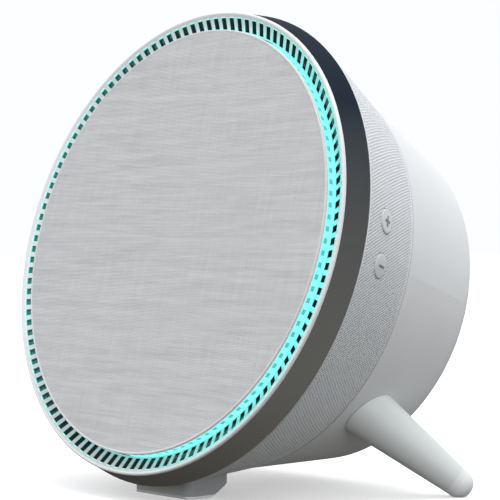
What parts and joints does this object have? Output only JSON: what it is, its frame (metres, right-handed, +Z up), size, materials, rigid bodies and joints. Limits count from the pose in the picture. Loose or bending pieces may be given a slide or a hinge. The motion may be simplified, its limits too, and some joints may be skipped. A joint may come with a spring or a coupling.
{
  "type": "smart speaker",
  "caption": "Round tilted smart speaker: fabric front in a slotted light ring, dark band, finely perforated sleeve, smooth tapered rear, volume buttons, splayed rear legs and a front foot.",
  "frame": {"origin": "centre of the bounding box at floor level", "axes": "+Z up, the fabric front faces -Y and leans back, the volume buttons are on the +X side"},
  "size_m": [0.246, 0.1824, 0.2448],
  "materials": {
    "fabric": "woven, matte",
    "black_plastic": "moulded, matte",
    "light_guide": "frosted, lit from within",
    "circuit_board": "solder resist",
    "led": "clear top",
    "ring_plastic": "satin",
    "dark_band": "satin",
    "sleeve_plastic": "fine staggered perforation",
    "shell_plastic": "satin",
    "black_rubber": "matte",
    "black_metal": "powder coated",
    "ferrite": "ground",
    "steel": "zinc plated",
    "cone_paper": "coated paper",
    "copper": "enamelled wire",
    "brass": "plated",
    "spider_cloth": "treated cloth",
    "dome_cloth": "coated cloth",
    "heat_sink": "anodised",
    "button_plastic": "satin",
    "leg_plastic": "satin",
    "tip_rubber": "matte",
    "foot_plastic": "satin"
  },
  "bodies": {
    "housing": {"grille_fabric": "fabric", "grille_plate": "black_plastic", "light_guide": "light_guide", "led_board": "circuit_board", "led_chips": "led", "slotted_ring": "ring_plastic", "trim_band": "dark_band", "side_sleeve": "sleeve_plastic", "side_shell": "shell_plastic", "rear_shell": "shell_plastic", "baffle": "black_plastic", "baffle_gasket": "black_rubber", "woofer_basket": "black_metal", "woofer_magnet": "ferrite", "woofer_top_plate": "steel", "woofer_pole_plate": "steel", "woofer_surround": "black_rubber", "woofer_spider": "spider_cloth", "tweeter_flange": "black_plastic", "tweeter_dome": "dome_cloth", "tweeter_magnet": "ferrite", "main_board": "circuit_board", "board_parts": "black_plastic", "wireless_module": "steel", "heat_sink": "heat_sink", "power_inlet": "black_plastic", "inlet_pin": "brass", "switch_boards": "circuit_board", "tact_switches": "black_plastic", "leg_right": "leg_plastic", "leg_left": "leg_plastic", "leg_tip_right": "tip_rubber", "leg_tip_left": "tip_rubber", "leg_bolts": "steel", "front_foot": "foot_plastic", "front_foot_pad": "tip_rubber", "foot_screws": "steel", "baffle_screws": "steel", "driver_screws": "steel", "shell_screws": "steel", "board_screws": "steel"},
    "button_plus": {"button_plus": "button_plastic"},
    "button_minus": {"button_minus": "button_plastic"},
    "woofer_cone": {"woofer_cone": "cone_paper", "woofer_dust_cap": "cone_paper", "woofer_voice_coil": "copper"}
  },
  "joints": [
    {"name": "button_plus_press", "type": "slide", "parent": "housing", "child": "button_plus", "axis": [-0.9335, -0.354, -0.0561], "range_m": [0, 0.0008], "stiffness_N_per_m": 900},
    {"name": "button_minus_press", "type": "slide", "parent": "housing", "child": "button_minus", "axis": [-0.9444, -0.3082, 0.1147], "range_m": [0, 0.0008], "stiffness_N_per_m": 900},
    {"name": "woofer_cone_slide", "type": "slide", "parent": "housing", "child": "woofer_cone", "axis": [0, -0.9659, 0.2588], "range_m": [-0.004, 0.004], "stiffness_N_per_m": 1500, "deforming": ["woofer_surround", "woofer_spider"]}
  ]
}
